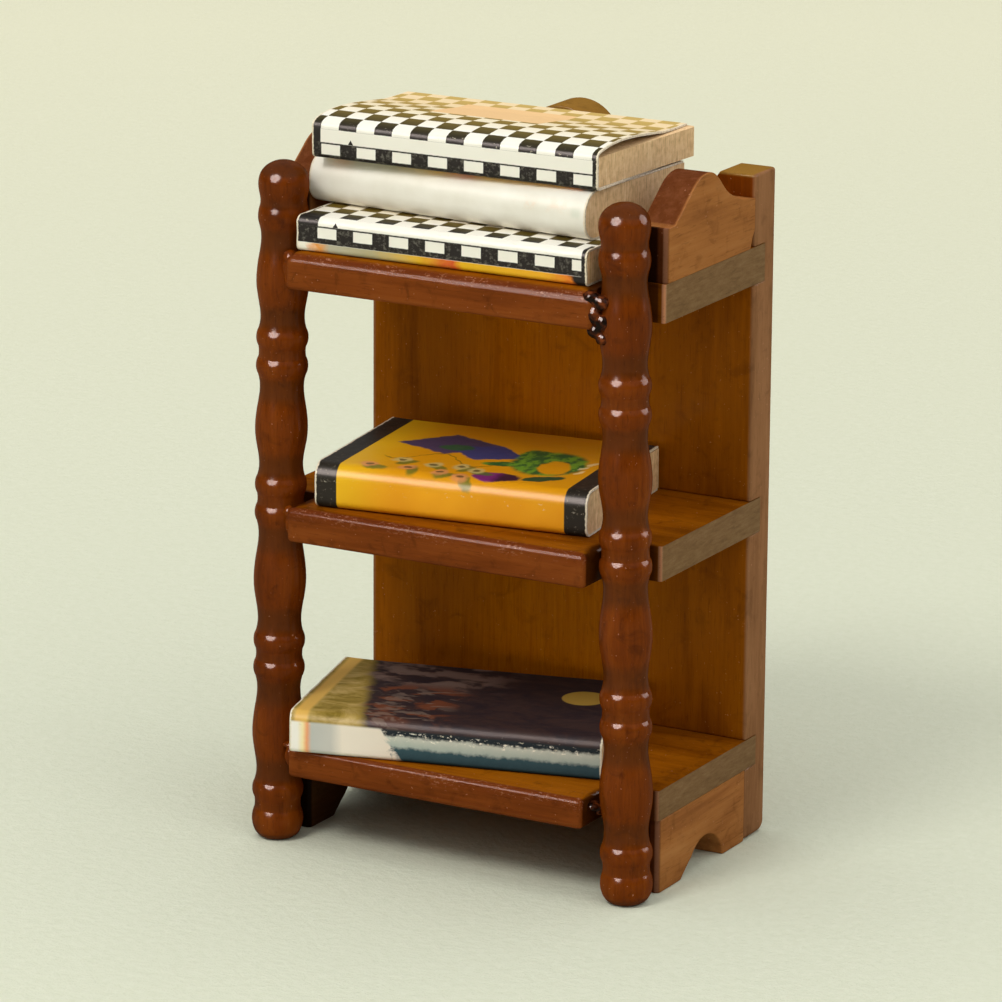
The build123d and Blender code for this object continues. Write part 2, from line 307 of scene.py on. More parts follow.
def panel_wood():
    """The back panel: amber with upright grain, a painted pool of light in its middle, browner on its edges
    and darker on its horns.
    """
    paint = Paint("panel_wood")
    place = paint.place()
    colour, streaks, pores = grain(paint, place, "Z", AMBER_WOOD, 0.75)
    x, _, z = paint.split(place)
    # Painted light: a broad, brighter golden pool in the middle of the panel below the top shelf, where
    # light falls into the case.
    glow = paint.times(paint.rise(x, -16, -2), paint.fall(x, 2, 16), paint.fall(z, 58, 62))
    painted_light_colour = paint.blend(streaks, srgb(150, 78, 0), srgb(214, 130, 4))
    colour = paint.blend(paint.times(glow, 0.85), colour, painted_light_colour)
    edge_colour = grain(paint, place, "Z", EDGE_WOOD, 0.8)[0]
    sides = paint.rise(paint.size(x), half_w - 0.5, half_w - 0.1)
    horns = paint.times(paint.rise(z, gallery_foot, gallery_foot + 2), paint.rise(paint.size(x), 8.0, 14.0))
    horn_colour = grain(paint, place, "Z", RED_WOOD, 0.8)[0]
    colour = paint.blend(paint.times(horns, 0.9), colour, horn_colour)
    colour = paint.blend(paint.rise(z, 68.5, 68.8), colour, srgb(138, 100, 42))
    colour = paint.blend(sides, colour, edge_colour)
    colour = mottled(paint, place, colour, 0.25)
    colour = paint.blend(paint.times(pores, 0.2), colour, DEEP_STAIN_AND_SHADE)
    return lacquer(paint, place, colour, streaks, pores, 0.3, 0.03)


def bracket_wood():
    """The brackets: browner and more rubbed, grained front to back, with painted shade, near black, behind
    the posts and on the left foot's inner face.
    """
    paint = Paint("bracket_wood")
    place = paint.place()
    colour, streaks, pores = grain(paint, place, "Y", BRACKET_WOOD, 0.8)
    x, y, z = paint.split(place)
    wide = paint.size(x)
    slope = paint.rise(z, gallery_foot + 5.3, gallery_foot + 5.6)
    slope = paint.times(slope, paint.fall(wide, half_w - 0.3, half_w))
    sand = paint.rise(paint.cloud(place, 1.0, 3.0, 0.6), 0.38, 0.7)
    slope_colour = paint.blend(paint.times(sand, 0.4), srgb(84, 38, 15), srgb(124, 72, 44))
    colour = paint.blend(paint.times(slope, 0.9), colour, slope_colour)
    face = paint.fall(y, bracket_front + 0.15, bracket_front + 0.5)
    colour = paint.blend(paint.times(face, 0.95), colour, srgb(70, 29, 9))
    colour = mottled(paint, place, colour, 0.25)
    # Painted shadow: the front face beside the post is darkened nearly to black, where the post shades it.
    glue_and_shade = paint.times(face, paint.fall(wide, half_w - 1.25, half_w - 0.85))
    colour = paint.blend(paint.times(glue_and_shade, 0.9), colour, srgb(24, 8, 3))
    corner = paint.band(wide, half_w - 0.5, half_w - 0.1, 0.1)
    corner = paint.times(corner, paint.fall(y, bracket_front + 0.2, bracket_front + 0.6))
    colour = paint.blend(paint.times(corner, 0.18), colour, WORN)
    # Painted shade: the inner face of the left foot bracket under the bottom shelf is darkened nearly to
    # black, where it lies in shade.
    foot_shade = paint.times(paint.fall(z, 7.5, 7.8), paint.fall(x, -12, -10), paint.rise(x, -21.78, -21.6))
    colour = paint.blend(paint.times(foot_shade, 0.85), colour, srgb(22, 10, 3))
    colour = paint.blend(paint.times(pores, 0.2), colour, DEEP_STAIN_AND_SHADE)
    return lacquer(paint, place, colour, streaks, pores, 0.36, 0.05)


def glue_gloss():
    """Dark lacquer and glue that has run at the joints."""
    paint = Paint("glue_gloss")
    place = paint.place()
    clouds = paint.cloud(place, 1.1, 3.0, 0.6, 0.5)
    colour = paint.ramp(clouds, (0.4, srgb(20, 8, 4)), (0.52, srgb(58, 24, 8)), (0.66, srgb(110, 52, 20)))
    normal = paint.bump(clouds, 0.2, 0.6)
    return paint.finish(
        colour, 0.4, normal, specular_ior_level=0.0, coat_weight=0.16, coat_roughness=0.1
    )


# ---- Board and paper -----------------------------------------------------------------------------
PAPER_WHITE = srgb(236, 234, 224)
INK = srgb(38, 35, 32)
BARE_PAPER = srgb(225, 214, 190)


def board():
    """The solid blocks inside the jackets: tan pressed board with fine upright saw marks."""
    paint = Paint("book_board")
    place = paint.place()
    fibres = paint.cloud(paint.stretched(place, 6.0, 6.0, 0.5), 1.0, 4.0, 0.65, 0.3)
    clumps = paint.cloud(place, 1.6, 4.0, 0.6)
    tone = paint.add(paint.times(fibres, 0.6), paint.times(clumps, 0.4))
    dark, middle, light = srgb(178, 142, 98), srgb(226, 190, 142), srgb(244, 216, 172)
    colour = paint.ramp(tone, (0.32, dark), (0.5, middle), (0.68, light))
    normal = paint.bump(fibres, 0.09, 0.8)
    return paint.finish(colour, 0.85, normal, specular_ior_level=0.1)


def paper_edge():
    """Cut and worn edges of a jacket, where the bare paper shows."""
    paint = Paint("paper_edge")
    place = paint.place()
    fluff = paint.cloud(place, 5.0, 4.0, 0.6)
    colour = paint.ramp(fluff, (0.35, srgb(176, 158, 128)), (0.6, BARE_PAPER))
    return paint.finish(colour, 0.8, paint.bump(fluff, 0.05, 0.6))


def paper_finish(paint, colour, sheet, roughness, worn_share, length, coat=0.05):
    """Printed paper with its wear: bare ends, rubbed folds and a faint ripple."""
    x, s, _ = paint.split(sheet)
    ragged = paint.cloud(sheet, 2.2, 4.0, 0.7)
    end_gap = paint.math("MINIMUM", x, paint.minus(length, x))
    bare = paint.fall(paint.minus(end_gap, paint.times(ragged, 0.42)), -0.10, 0.0)
    fold = paint.fall(paint.size(s), 0.1, 0.75)
    chips = paint.rise(paint.cloud(paint.stretched(sheet, 1.3, 2.4, 1.0), 1.0, 5.0, 0.72), 0.62, 0.66)
    worn = paint.most(bare, paint.times(fold, chips, worn_share))
    colour = paint.blend(worn, colour, BARE_PAPER)
    ripple = paint.cloud(sheet, 0.35, 2.0, 0.5)
    fibre = paint.cloud(sheet, 5.0, 3.0, 0.6)
    normal = paint.bump(ripple, 0.12, 0.6)
    normal = paint.bump(fibre, 0.02, 0.5, normal)
    roughness = paint.add(roughness, paint.times(worn, 0.4), paint.times(fibre, 0.08))
    return paint.finish(
        colour, roughness, normal, specular_ior_level=0.03, coat_weight=coat, coat_roughness=0.24
    )


def chequer_print(name, start, length, first_block, corner_w):
    """A chequer field, then a plain band and a dark band of white blocks, down the sheet.

    start says how far down the print the top fold of the spine lies, first_block where the row of blocks
    begins, and corner_w how wide the dark corner at the left end is.
    """
    pitch, row = 4.0, 2.0
    paint = Paint(name)
    sheet = paint.attribute("sheet")
    x, s, _ = paint.split(sheet)
    shake = paint.times(paint.minus(paint.cloud(sheet, 3.0, 2.0), 0.5), 0.06)
    s = paint.add(s, start, shake)
    x = paint.add(x, shake)
    grid_x = paint.times(paint.add(x, pitch - first_block), 1 / row)
    grid_s = paint.times(paint.add(s, 0.8), 1 / row)
    grid = paint.join(grid_x, grid_s, 0.5)
    chequer = paint.node("TexChecker", {"Vector": grid, "Scale": 1.0}).outputs["Fac"]
    field = paint.fall(s, 1.18, 1.24)
    across = paint.math("WRAP", paint.add(x, pitch - first_block), pitch, 0.0)
    printed = paint.band(x, first_block - 0.1, length - 0.55, 0.04)
    blocks = paint.times(paint.band(across, 0.04, 2.16, 0.04), paint.band(s, 2.7, 3.74, 0.04), printed)
    dark_band = paint.times(paint.band(s, 2.54, 4.28, 0.04), paint.minus(1.0, blocks))
    left_corner = paint.fall(x, corner_w - 0.05, corner_w + 0.05)
    left_corner = paint.times(left_corner, paint.band(s, 0.6, 2.6, 0.04))
    right_strip = paint.times(paint.rise(x, length - 0.6, length - 0.52), paint.rise(s, -0.2, -0.1))
    tick = paint.times(paint.size(paint.minus(x, 4.35)), 1.6)
    tick = paint.fall(paint.add(tick, paint.minus(2.5, s)), 0.42, 0.5)
    tick = paint.times(tick, paint.band(s, 2.0, 2.54, 0.03))
    ink = paint.most(paint.times(field, chequer), dark_band, left_corner, right_strip, tick)
    back = paint.times(s, -1.0)
    ink_tone = paint.times(paint.add(back, 2.0), 1 / 20)
    ink_colour = paint.ramp(
        ink_tone,
        (0.06, INK),
        (0.12, srgb(62, 54, 20)),
        (0.30, srgb(116, 96, 30)),
        (0.62, srgb(168, 138, 62)),
        (0.95, srgb(196, 166, 92)),
    )
    scuffs = paint.times(dark_band, paint.rise(paint.cloud(sheet, 1.8, 5.0, 0.7), 0.5, 0.66))
    ink_colour = paint.blend(paint.times(scuffs, 0.3), ink_colour, srgb(150, 146, 132))
    aged, old = srgb(238, 226, 196), srgb(236, 212, 168)
    ground = paint.ramp(ink_tone, (0.14, PAPER_WHITE), (0.4, aged), (0.8, old))
    colour = paint.blend(ink, ground, ink_colour)
    centre = paint.times(paint.band(x, 8.6, 21.0, 0.1), paint.band(back, 7.4, 15.4, 0.1))
    colour = paint.blend(centre, colour, srgb(236, 196, 142))
    stripe = paint.ramp(
        paint.add(paint.times(x, 1 / length), paint.times(paint.cloud(sheet, 0.9), 0.1), -0.05),
        (0.03, srgb(236, 232, 218)),
        (0.07, srgb(226, 150, 70)),
        (0.12, srgb(178, 174, 152)),
        (0.26, srgb(176, 168, 130)),
        (0.42, srgb(222, 176, 40)),
        (0.54, srgb(206, 84, 40)),
        (0.58, srgb(224, 176, 30)),
        (0.86, srgb(232, 172, 40)),
        (0.93, srgb(226, 128, 40)),
        (0.965, INK),
    )
    colour = paint.blend(paint.rise(s, 4.26, 4.34), colour, stripe)
    return paper_finish(paint, colour, sheet, 0.36, 0.5, length)


def plain_print(name, length):
    """A blank cream sheet with a little soiling towards one end, and greyer in patches on the lower curve
    of the spine.
    """
    paint = Paint(name)
    sheet = paint.attribute("sheet")
    x, s, _ = paint.split(sheet)
    soft = paint.cloud(sheet, 0.25, 3.0, 0.5)
    colour = paint.ramp(soft, (0.35, srgb(228, 225, 213)), (0.65, srgb(236, 234, 224)))
    clouds = paint.cloud(sheet, 0.8, 3.0, 0.6)
    pink = paint.times(paint.band(x, 24.5, 30.0, 1.2), paint.band(s, 0.2, 1.2, 0.5))
    pink = paint.times(pink, paint.rise(clouds, 0.45, 0.6))
    colour = paint.blend(paint.times(pink, 0.3), colour, srgb(236, 204, 176))
    green = paint.times(paint.band(x, 30.4, 31.4, 0.3), paint.band(s, 0.7, 1.6, 0.3))
    colour = paint.blend(paint.times(green, 0.15), colour, srgb(130, 176, 146))
    greyer_low = paint.times(paint.rise(s, 3.2, 5.4), paint.rise(clouds, 0.42, 0.62))
    colour = paint.blend(paint.times(greyer_low, 0.2), colour, srgb(196, 200, 182))
    return paper_finish(paint, colour, sheet, 0.42, 0.15, length)


def oval(paint, x, d, middle, radii, turn, soft=0.12):
    """1 inside an ellipse on the cover: x along it, d back from the spine."""
    across = paint.minus(x, middle[0])
    back = paint.minus(d, middle[1])
    c, s = cos(radians(turn)), sin(radians(turn))
    u = paint.times(paint.add(paint.times(across, c), paint.times(back, s)), 1 / radii[0])
    v = paint.times(paint.minus(paint.times(back, c), paint.times(across, s)), 1 / radii[1])
    out = paint.math("SQRT", paint.add(paint.times(u, u), paint.times(v, v)))
    return paint.fall(out, 1 - soft, 1 + soft)


def diamond(paint, x, d, middle, radii, turn, soft=0.06):
    """1 inside a lozenge on the cover."""
    across = paint.minus(x, middle[0])
    back = paint.minus(d, middle[1])
    c, s = cos(radians(turn)), sin(radians(turn))
    u = paint.times(paint.size(paint.add(paint.times(across, c), paint.times(back, s))), 1 / radii[0])
    v = paint.times(paint.size(paint.minus(paint.times(back, c), paint.times(across, s))), 1 / radii[1])
    return paint.fall(paint.add(u, v), 1 - soft, 1 + soft)


def orange_print(name, length):
    """A glossy orange cover with dark end bands and a kite among leaves and blossoms."""
    paint = Paint(name)
    sheet = paint.attribute("sheet")
    x, s, _ = paint.split(sheet)
    drift = paint.cloud(sheet, 0.12, 2.0, 0.5)
    lemon = paint.times(paint.fall(x, 2.0, 9.0), 0.75)
    colour = paint.ramp(drift, (0.35, srgb(226, 150, 22)), (0.65, srgb(238, 166, 30)))
    colour = paint.blend(paint.fall(s, -1.2, 0.2), colour, srgb(224, 154, 18))
    colour = paint.blend(lemon, colour, srgb(232, 186, 30))
    shake = paint.minus(paint.cloud(sheet, 0.9, 3.0, 0.6), 0.5)
    u = paint.add(x, paint.times(shake, 0.9))
    sway = paint.minus(paint.cloud(paint.moved(sheet, 9, 4, 0), 0.9), 0.5)
    d = paint.add(paint.times(s, -1.0), paint.times(sway, 0.9))
    wave = paint.math("SINE", paint.times(u, 0.75))
    string = paint.band(paint.minus(d, paint.add(paint.times(wave, 1.7), 8.0)), -0.13, 0.13, 0.08)
    string = paint.times(string, paint.band(x, 5.2, 19.0, 0.4))
    colour = paint.blend(paint.times(string, 0.75), colour, srgb(128, 104, 24))
    colour = paint.blend(diamond(paint, u, d, (9.6, 13.4), (5.4, 3.8), 12), colour, srgb(80, 66, 96))
    colour = paint.blend(diamond(paint, u, d, (14.2, 11.8), (4.6, 3.0), -8), colour, srgb(66, 68, 120))
    colour = paint.blend(oval(paint, u, d, (10.6, 12.4), (1.8, 1.0), 10), colour, srgb(54, 92, 60))
    crest = paint.most(
        oval(paint, u, d, (19.4, 12.2), (1.9, 2.6), 20),
        paint.times(
            oval(paint, u, d, (21.4, 10.2), (3.8, 4.4), 10),
            paint.minus(1.0, oval(paint, u, d, (22.4, 9.0), (1.7, 2.5), 15)),
        ),
        oval(paint, u, d, (17.4, 8.4), (2.3, 0.8), 12),
    )
    veins = paint.rise(paint.cloud(paint.stretched(sheet, 0.9, 0.55, 1.0), 1.0, 4.0, 0.6), 0.42, 0.58)
    leaf_colour = paint.blend(veins, srgb(112, 158, 48), srgb(48, 96, 48))
    colour = paint.blend(crest, colour, leaf_colour)
    colour = paint.blend(oval(paint, u, d, (23.0, 4.7), (2.2, 0.9), 34), colour, srgb(48, 78, 48))
    petal = oval(paint, u, d, (18.4, 3.6), (2.4, 1.5), 6)
    petal_colour = paint.blend(paint.rise(u, 17.8, 19.2), srgb(126, 44, 116), srgb(62, 32, 52))
    colour = paint.blend(petal, colour, petal_colour)
    blossoms = ((5.0, 3.4), (7.4, 6.0), (9.0, 3.6), (11.0, 5.4))
    blossoms += ((12.6, 3.2), (13.8, 5.8), (15.0, 2.4), (15.8, 5.0))
    for count, middle in enumerate(blossoms):
        leafage = oval(paint, u, d, (middle[0] + 0.8, middle[1] - 0.7), (1.2, 0.6), 50 * count, 0.3)
        colour = paint.blend(paint.times(leafage, 0.8), colour, srgb(84, 108, 40))
        blossom = oval(paint, u, d, middle, (0.95, 0.8), 20 * count, 0.3)
        heart = oval(paint, u, d, middle, (0.4, 0.35), 0, 0.3)
        petals = srgb(206, 190, 120) if count % 2 else srgb(226, 150, 96)
        colour = paint.blend(paint.times(blossom, 0.75), colour, petals)
        colour = paint.blend(paint.times(heart, 0.8), colour, srgb(92, 74, 40))
    for middle in ((25.3, 8.2), (25.1, 9.8), (25.5, 11.6)):
        fleck = oval(paint, u, d, middle, (0.8, 0.28), 65)
        colour = paint.blend(paint.times(fleck, 0.7), colour, srgb(240, 222, 168))
    bands = paint.most(paint.fall(x, 2.28, 2.36), paint.rise(x, length - 2.42, length - 2.34))
    scuffs = paint.rise(paint.cloud(sheet, 2.0, 5.0, 0.7), 0.58, 0.66)
    band_colour = paint.blend(paint.times(scuffs, 0.3), srgb(44, 40, 34), srgb(150, 140, 120))
    colour = paint.blend(bands, colour, band_colour)
    return paper_finish(paint, colour, sheet, 0.3, 0.5, length, 0.04)


def dark_print(name, length):
    """A dusk scene with no subject: dim clouds, a moon, an ochre end, and a silver and teal spine."""
    paint = Paint(name)
    sheet = paint.attribute("sheet")
    x, s, _ = paint.split(sheet)
    d = paint.times(s, -1.0)
    wash = paint.cloud(paint.stretched(sheet, 0.26, 0.5, 1.0), 1.0, 4.0, 0.65, 0.8)
    fine = paint.cloud(paint.stretched(sheet, 0.28, 0.5, 1.0), 1.0, 3.0, 0.55, 0.5)
    shake = paint.minus(wash, 0.5)
    colour = paint.blend(paint.rise(wash, 0.35, 0.65), srgb(40, 31, 36), srgb(58, 42, 40))
    grey = paint.times(paint.rise(fine, 0.42, 0.6), paint.band(x, 3.0, 18.0, 3.0))
    grey = paint.times(grey, paint.rise(d, 11.0, 14.5))
    colour = paint.blend(paint.times(grey, 0.7), colour, srgb(134, 112, 102))
    rust = paint.times(paint.rise(fine, 0.5, 0.6), paint.band(x, 6.0, 15.5, 2.0))
    rust = paint.times(rust, paint.band(d, 1.5, 12.5, 1.5))
    colour = paint.blend(paint.times(rust, 0.7), colour, srgb(122, 66, 38))
    elsewhere = paint.stretched(paint.moved(sheet, 7, 3, 0), 0.34, 0.8, 1.0)
    drift = paint.cloud(elsewhere, 1.0, 3.0, 0.55, 0.5)
    ashes = paint.times(paint.rise(drift, 0.53, 0.6), paint.band(x, 5.0, 15.0, 2.0))
    ashes = paint.times(ashes, paint.band(d, 0.5, 12.0, 1.5))
    colour = paint.blend(paint.times(ashes, 0.55), colour, srgb(128, 110, 98))
    border = paint.add(x, paint.times(d, 0.24), paint.times(shake, 3.0))
    dark, middle, light = srgb(124, 104, 32), srgb(158, 134, 62), srgb(184, 158, 94)
    ochre = paint.ramp(wash, (0.36, dark), (0.5, middle), (0.64, light))
    colour = paint.blend(paint.fall(border, 7.2, 8.6), colour, ochre)
    colour = paint.blend(paint.band(x, 0.5, 1.9, 0.25), colour, srgb(214, 172, 84))
    moon = oval(paint, x, d, (27.2, 13.4), (2.3, 2.3), 0, 0.04)
    colour = paint.blend(moon, colour, srgb(184, 152, 66))
    down = paint.add(s, paint.times(paint.minus(paint.cloud(sheet, 1.0, 4.0, 0.7), 0.5), 0.9))
    spine = paint.ramp(
        paint.times(down, 1 / 4.4),
        (0.02, srgb(26, 36, 42)),
        (0.09, srgb(192, 194, 182)),
        (0.28, srgb(166, 176, 166)),
        (0.37, srgb(48, 76, 84)),
        (0.8, srgb(24, 46, 54)),
    )
    chips = paint.rise(paint.cloud(paint.stretched(sheet, 1.6, 2.8, 1.0), 1.0, 4.0, 0.7), 0.57, 0.63)
    spine = paint.blend(paint.times(chips, paint.band(s, -0.2, 0.7, 0.1)), spine, srgb(236, 230, 214))
    pale = paint.ramp(
        paint.times(paint.add(x, paint.times(shake, 0.3)), 1 / 12),
        (0.07, srgb(240, 236, 226)),
        (0.115, srgb(244, 226, 170)),
        (0.15, srgb(236, 160, 110)),
        (0.19, srgb(186, 188, 182)),
        (0.36, srgb(196, 194, 186)),
        (0.46, srgb(232, 222, 206)),
        (0.92, srgb(226, 214, 198)),
    )
    green = paint.times(paint.rise(paint.cloud(sheet, 0.9, 3.0), 0.45, 0.6), paint.rise(s, 2.4, 3.6))
    green = paint.times(green, paint.band(x, 3.0, 9.5, 1.0))
    pale = paint.blend(paint.times(green, 0.6), pale, srgb(150, 168, 140))
    split = paint.rise(paint.add(x, paint.times(shake, 4.0), paint.times(s, -0.35)), 9.6, 10.2)
    spine = paint.blend(split, pale, spine)
    colour = paint.blend(paint.rise(s, -0.55, -0.25), colour, spine)
    return paper_finish(paint, colour, sheet, 0.5, 1.0, length, 0.02)


# ---- Meshes --------------------------------------------------------------------------------------
def new_object(name, mesh, materials):
    made = bpy.data.objects.new(name, mesh)
    bpy.context.scene.collection.objects.link(made)
    for material in materials:
        mesh.materials.append(material)
    return made


def settled(piece, sharp=40):
    """Applies a piece's modifiers, smooths it, and keeps its hard corners hard."""
    graph = bpy.context.evaluated_depsgraph_get()
    mesh = bpy.data.meshes.new_from_object(piece.evaluated_get(graph))
    piece.modifiers.clear()
    piece.data = mesh
    for face in mesh.polygons:
        face.use_smooth = True
    mesh.set_sharp_from_angle(angle=radians(sharp))
    return piece


def eased(node, width_mm, material):
    """A CAD piece with its sharp edges eased as by sanding and lacquer; it stands for the node."""
    form = bmesh.new()
    form.from_mesh(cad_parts[node].data)
    bmesh.ops.remove_doubles(form, verts=form.verts, dist=0.002 * MM)
    bmesh.ops.dissolve_limit(form, angle_limit=radians(1.0), verts=form.verts, edges=form.edges)
    sharp = [edge for edge in form.edges if edge.is_manifold and edge.calc_face_angle() > radians(32)]
    bmesh.ops.bevel(
        form,
        geom=sharp,
        offset=width_mm * MM,
        segments=3,
        profile=0.5,
        affect="EDGES",
        clamp_overlap=True,
    )
    mesh = bpy.data.meshes.new(node + "_eased")
    form.to_mesh(mesh)
    form.free()
    piece = settled(new_object(node + "_wood", mesh, [material]), 50)
    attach(piece, CASE)
    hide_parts(node)
    return piece


def painted(node, material):
    """Gives a CAD piece its material. Its mesh and place stay as they are."""
    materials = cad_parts[node].data.materials
    materials.clear()
    materials.append(material)


# ---- The case ------------------------------------------------------------------------------------
turned = turned_wood()
for node in POSTS:
    painted(node, turned)

bracket_material = bracket_wood()
eased("back_panel", 0.22, panel_wood())
for node in SHELVES:
    eased(node, 0.12, shelf_wood(node))
for node in BRACKETS:
    eased(node, 0.2, bracket_material)


GLUE_VOXEL = 0.08


def glue_run(name, drops, material):
    """A run of glue: drops given as middle and radii, melted into one skin."""
    form = bmesh.new()
    for middle, radii in drops:
        made = bmesh.ops.create_icosphere(form, subdivisions=3, radius=1.0)["verts"]
        for vertex in made:
            wobble = 1 + 0.12 * noise.noise(vertex.co * 1.7 + Vector(middle))
            vertex.co = Vector([(c + v * r * wobble) * MM for c, v, r in zip(middle, vertex.co, radii)])
    mesh = bpy.data.meshes.new(name)
    form.to_mesh(mesh)
    form.free()
    piece = new_object(name, mesh, [material])
    skin = piece.modifiers.new("skin", "REMESH")
    skin.mode = "VOXEL"
    skin.voxel_size = GLUE_VOXEL * MM
    smooth = piece.modifiers.new("smooth", "SMOOTH")
    smooth.iterations = 10
    settled(piece, 80)
    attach(piece, CASE)


glue_and_shade = glue_gloss()
glue_run("glue_right_top", (
    ((16.6, -13.5, 60.9), (0.9, 0.75, 0.75)),
    ((17.6, -13.4, 60.5), (1.0, 0.7, 0.8)),
    ((17.0, -13.7, 59.3), (0.7, 0.6, 0.9)),
    ((17.8, -13.5, 58.6), (0.8, 0.6, 0.9)),
    ((17.0, -13.4, 57.7), (0.8, 0.7, 0.75)),
    ((17.8, -13.2, 57.0), (0.8, 0.7, 0.7)),
), glue_and_shade)
glue_run("glue_left_top", (
    ((-17.0, -13.3, 60.9), (0.7, 0.75, 0.75)),
    ((-17.1, -13.2, 59.8), (0.75, 0.75, 1.3)),
    ((-17.0, -13.2, 58.6), (0.7, 0.7, 1.0)),
), turned)
glue_run("glue_left_middle", (
    ((-17.2, -13.3, 35.0), (0.5, 0.6, 0.6)),
    ((-17.15, -13.3, 33.8), (0.4, 0.5, 1.2)),
), turned)
glue_run("glue_left_bottom", (
    ((-17.6, -12.7, 10.5), (0.9, 0.7, 0.35)),
    ((-17.3, -13.1, 9.4), (0.55, 0.6, 1.1)),
), turned)
glue_run("glue_right_bottom", (
    ((16.7, -12.0, 9.6), (0.7, 0.9, 0.5)),
    ((17.3, -11.6, 9.2), (0.5, 0.8, 0.6)),
), glue_and_shade)

# ---- The books -----------------------------------------------------------------------------------
PAPER_T = 0.2  # a little thinner than the CAD jacket, so that it clears the block
SHEET_STEP = 0.5  # spacing of the sheet's columns
TURNS = {  # degrees from square to the shelf
    "dark_book": 13.6,
    "orange_book": 7.0,
    "chequered_book": 1.0,
    "cream_book": -3.6,
    "arched_book": 0.4,
}


class Lying:
    """A lying book's own axes and size in millimetres, read from its CAD jacket."""

    def __init__(self, name):
        turn = radians(TURNS[name])
        self.along = Vector((cos(turn), sin(turn), 0))
        self.back = Vector((-sin(turn), cos(turn), 0))
        points = [vertex.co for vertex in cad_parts[name + "_jacket"].data.vertices]
        spans = []
        for axis in (self.along, self.back, UP):
            places = [point.dot(axis) for point in points]
            spans.append((min(places), max(places)))
        self.origin = self.along * spans[0][0] + self.back * spans[1][0] + UP * spans[2][0]
        self.length, self.depth, self.height = [(high - low) / MM for low, high in spans]

    def point(self, x, y, z):
        return self.origin + (self.along * x + self.back * y + UP * z) * MM


def arc(centre, radius, start, end, steps):
    """Points on a round stretch, angles in degrees."""
    points = []
    for count in range(steps + 1):
        angle = radians(start + (end - start) * count / steps)
        points.append((centre[0] + radius * cos(angle), centre[1] + radius * sin(angle)))
    return points


def run(start, end, gap):
    """Points along a straight stretch, with its first point and without its last."""
    steps = max(1, round((Vector(end) - Vector(start)).length / gap))
    return [tuple(Vector(start).lerp(Vector(end), count / steps)) for count in range(steps)]


def folded_section(book, low_r, top_r):
    """The jacket's outline from the lower fore edge round the spine to the upper one."""
    points = run((book.depth, 0), (low_r, 0), 0.7)
    points += arc((low_r, low_r), low_r, 270, 180, 8)
    points += run((0, low_r), (0, book.height - top_r), 0.4)[1:]
    points += arc((top_r, book.height - top_r), top_r, 180, 90, 8)
    points += run((top_r, book.height), (book.depth, book.height), 0.7)[1:]
    points.append((book.depth, book.height))
    return points


def arched_section(book):
    """The same for the jacket that springs off its block."""
    low_r = 0.5
    stations = ((0.2, 3.62), (0.75, 3.86), (1.9, 4.07), (3.2, 4.2), (4.6, 4.25), (6.2, 4.2))
    stations += ((7.9, 4.1), (9.5, 3.95), (11.8, 3.7), (14.0, 3.44), (16.4, 3.37), (book.depth, 3.36))
    points = run((book.depth, 0), (low_r, 0), 0.7)
    points += arc((low_r, low_r), low_r, 270, 180, 8)
    points += run((0, low_r), (0, 3.1), 0.4)[1:]
    points += [(0.0, 3.1), (0.05, 3.38)]
    for first, second in zip(stations, stations[1:]):
        points += run(first, second, 0.55)
    points.append(stations[-1])
    return points


def fold_length(points, fold_z):
    """How far along the outline the top fold lies."""
    length = 0.0
    for first, second in zip(points, points[1:]):
        if first[1] < fold_z <= second[1]:
            return length
        length += (Vector(second) - Vector(first)).length
    return length


def jacket(name, points, fold_z, material, edge, lift=0.0, seed=0.0):
    """A folded paper sheet along a book. lift is how far its upper corners curl off the block."""
    book = Lying(name)
    columns = round(book.length / SHEET_STEP)
    fold = fold_length(points, fold_z)
    vertices = []
    places = []
    run_length = 0.0
    for row, (y, z) in enumerate(points):
        if row > 0:
            run_length += (Vector(points[row]) - Vector(points[row - 1])).length
        upper = max(0.0, min(1.0, (z - fold_z) / 0.6)) if y > 0.5 else 0.0
        for column in range(columns + 1):
            x = book.length * column / columns
            end_share = abs(2 * x / book.length - 1)
            ripple = noise.noise(Vector((x * 0.22, run_length * 0.22, seed)))
            ragged = noise.noise(Vector((run_length * 0.9, seed, 3 if column else 7)))
            swell = max(0.0, 0.03 * ripple)
            curl = lift * upper * (end_share ** 6) * (0.4 + 0.6 * (y / book.depth) ** 2)
            shift = 0.05 * ragged if column in (0, columns) else 0.0
            forward = swell if y < 0.05 else 0.0
            upward = swell * upper if lift > 0 else 0.0
            vertices.append(book.point(x + shift, y - forward, z + curl + upward))
            places.append((x, fold - run_length, 0.0))
    faces = []
    for row in range(len(points) - 1):
        for column in range(columns):
            first = row * (columns + 1) + column
            faces.append((first, first + 1, first + columns + 2, first + columns + 1))
    mesh = bpy.data.meshes.new(name + "_sheet")
    mesh.from_pydata([tuple(vertex) for vertex in vertices], [], faces)
    sheet = mesh.attributes.new("sheet", "FLOAT_VECTOR", "POINT")
    for item, place in zip(sheet.data, places):
        item.vector = place
    piece = new_object(name + "_paper", mesh, [material, edge, edge])
    thick = piece.modifiers.new("thickness", "SOLIDIFY")
    thick.thickness = PAPER_T * MM
    thick.offset = -1
    thick.material_offset = 1
    thick.material_offset_rim = 2
    settled(piece)
    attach(piece, name)
    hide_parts(name + "_jacket")
    return piece


edge_material = paper_edge()
board_material = board()
for name in TURNS:
    painted(name + "_block", board_material)

